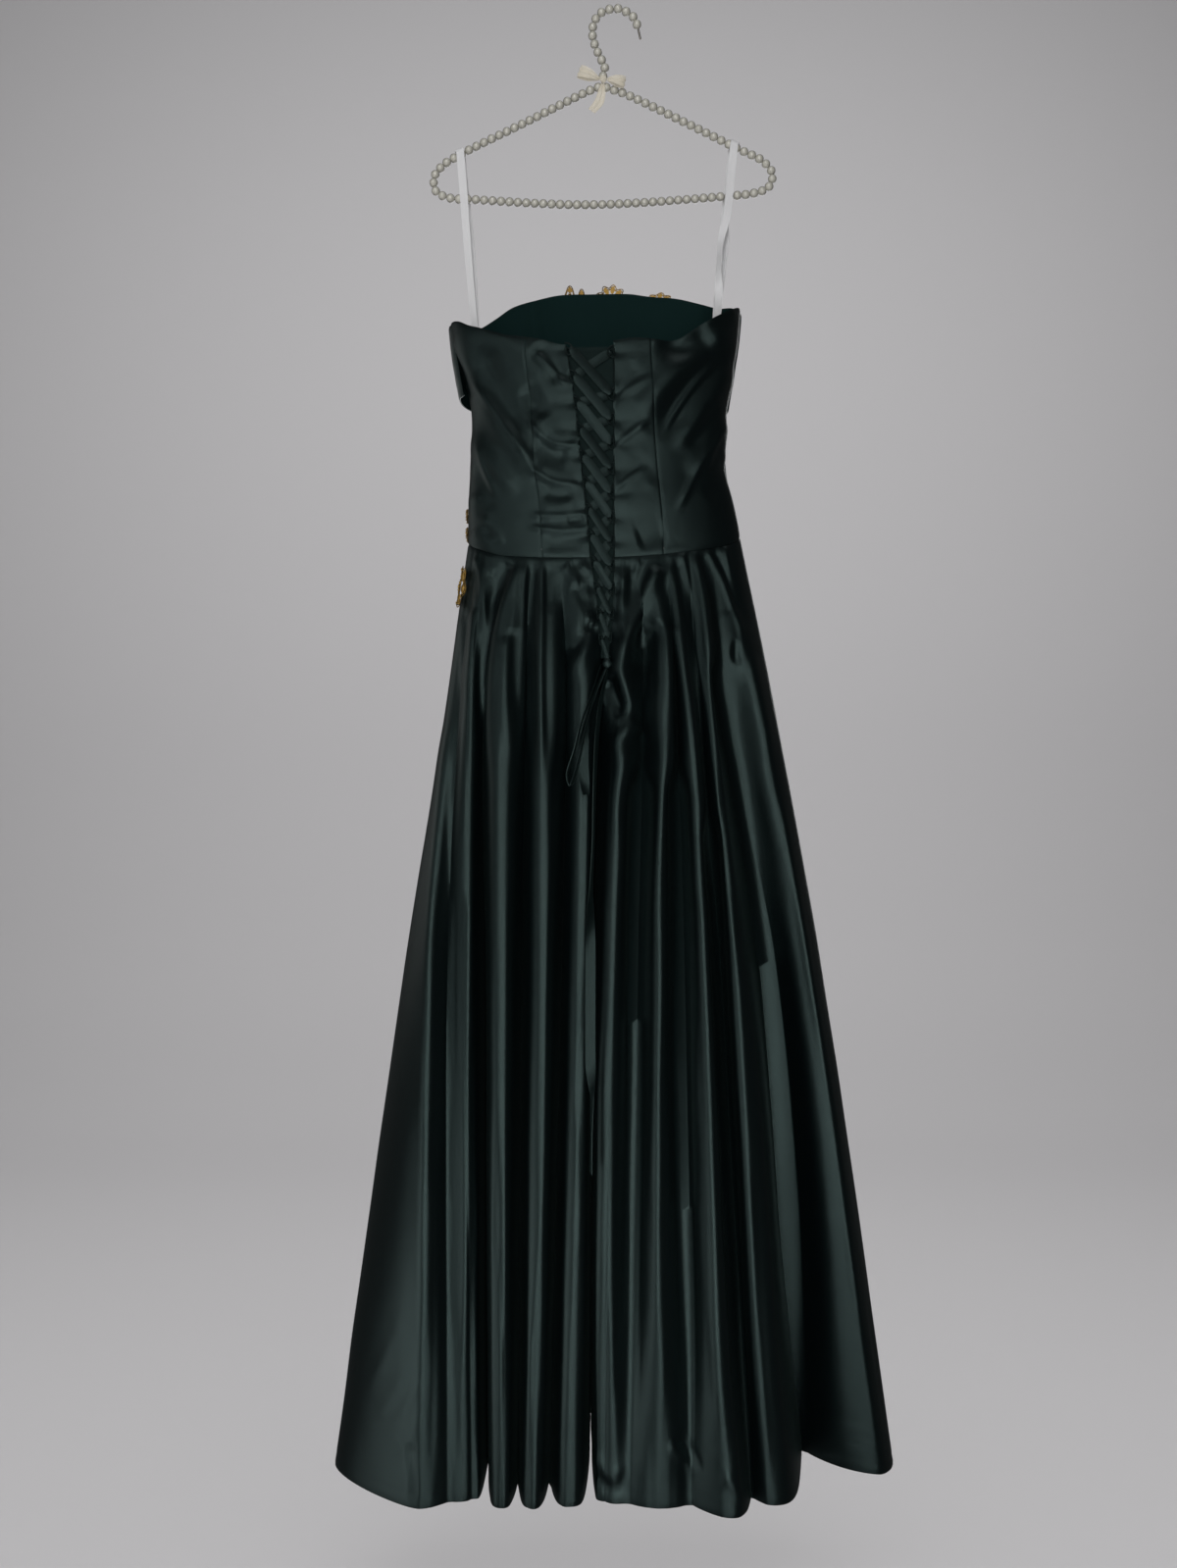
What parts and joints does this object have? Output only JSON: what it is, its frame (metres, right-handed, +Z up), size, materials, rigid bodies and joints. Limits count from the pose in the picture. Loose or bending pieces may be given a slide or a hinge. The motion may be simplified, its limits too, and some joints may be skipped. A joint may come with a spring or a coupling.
{
  "type": "a-line prom dress on a beaded hanger",
  "caption": "Strapless floor-length satin a-line gown with a lace-up back, pleated waist and gold lace trim, hung by ribbon loops on a pearl-bead hanger.",
  "frame": {"origin": "inside of the hanger hook's crown, where a rod or peg holds it", "axes": "+Z up, +X to the right of someone facing the laced back, the laced back faces -Y and the dress front faces +Y"},
  "size_m": [0.6384, 0.218, 1.665],
  "materials": {
    "green_satin": "very dark blue-green satin with a soft lengthwise sheen",
    "lining": "matte dark green woven lining",
    "lace_ribbon": "narrow dark green satin ribbon",
    "loop_cord": "satin-covered cord loops",
    "white_ribbon": "white woven hanger ribbon",
    "gold_lace": "gold corded lace with small beads",
    "pearl_beads": "ivory pearl-coated plastic beads",
    "sheer_ribbon": "sheer cream organza ribbon"
  },
  "bodies": {
    "root": {"hanger_frame": "pearl_beads", "hanger_hook": "pearl_beads", "hanger_bow_knot": "sheer_ribbon", "hanger_bow_left": "sheer_ribbon", "hanger_bow_right": "sheer_ribbon", "hanger_bow_tail": "sheer_ribbon", "hanger_loop_left": "white_ribbon", "hanger_loop_right": "white_ribbon", "bodice_back_centre_left": "green_satin", "bodice_back_centre_right": "green_satin", "bodice_back_side_left": "green_satin", "bodice_back_side_right": "green_satin", "bodice_front_centre": "green_satin", "bodice_front_side_left": "green_satin", "bodice_front_side_right": "green_satin", "front_lining": "lining", "bust_band": "green_satin", "modesty_panel": "green_satin", "lace_loops_left": "loop_cord", "lace_loops_right": "loop_cord", "lacing_first": "lace_ribbon", "lacing_second": "lace_ribbon", "lace_knot": "lace_ribbon", "lace_tail_long": "lace_ribbon", "lace_tail_short": "lace_ribbon", "lace_bow_loop": "lace_ribbon", "skirt_back_left": "green_satin", "skirt_back_right": "green_satin", "skirt_front": "green_satin", "neckline_lace_1": "gold_lace", "neckline_lace_2": "gold_lace", "neckline_lace_3": "gold_lace", "neckline_lace_4": "gold_lace", "hip_lace_1": "gold_lace", "hip_lace_2": "gold_lace", "hip_lace_3": "gold_lace"}
  },
  "joints": []
}
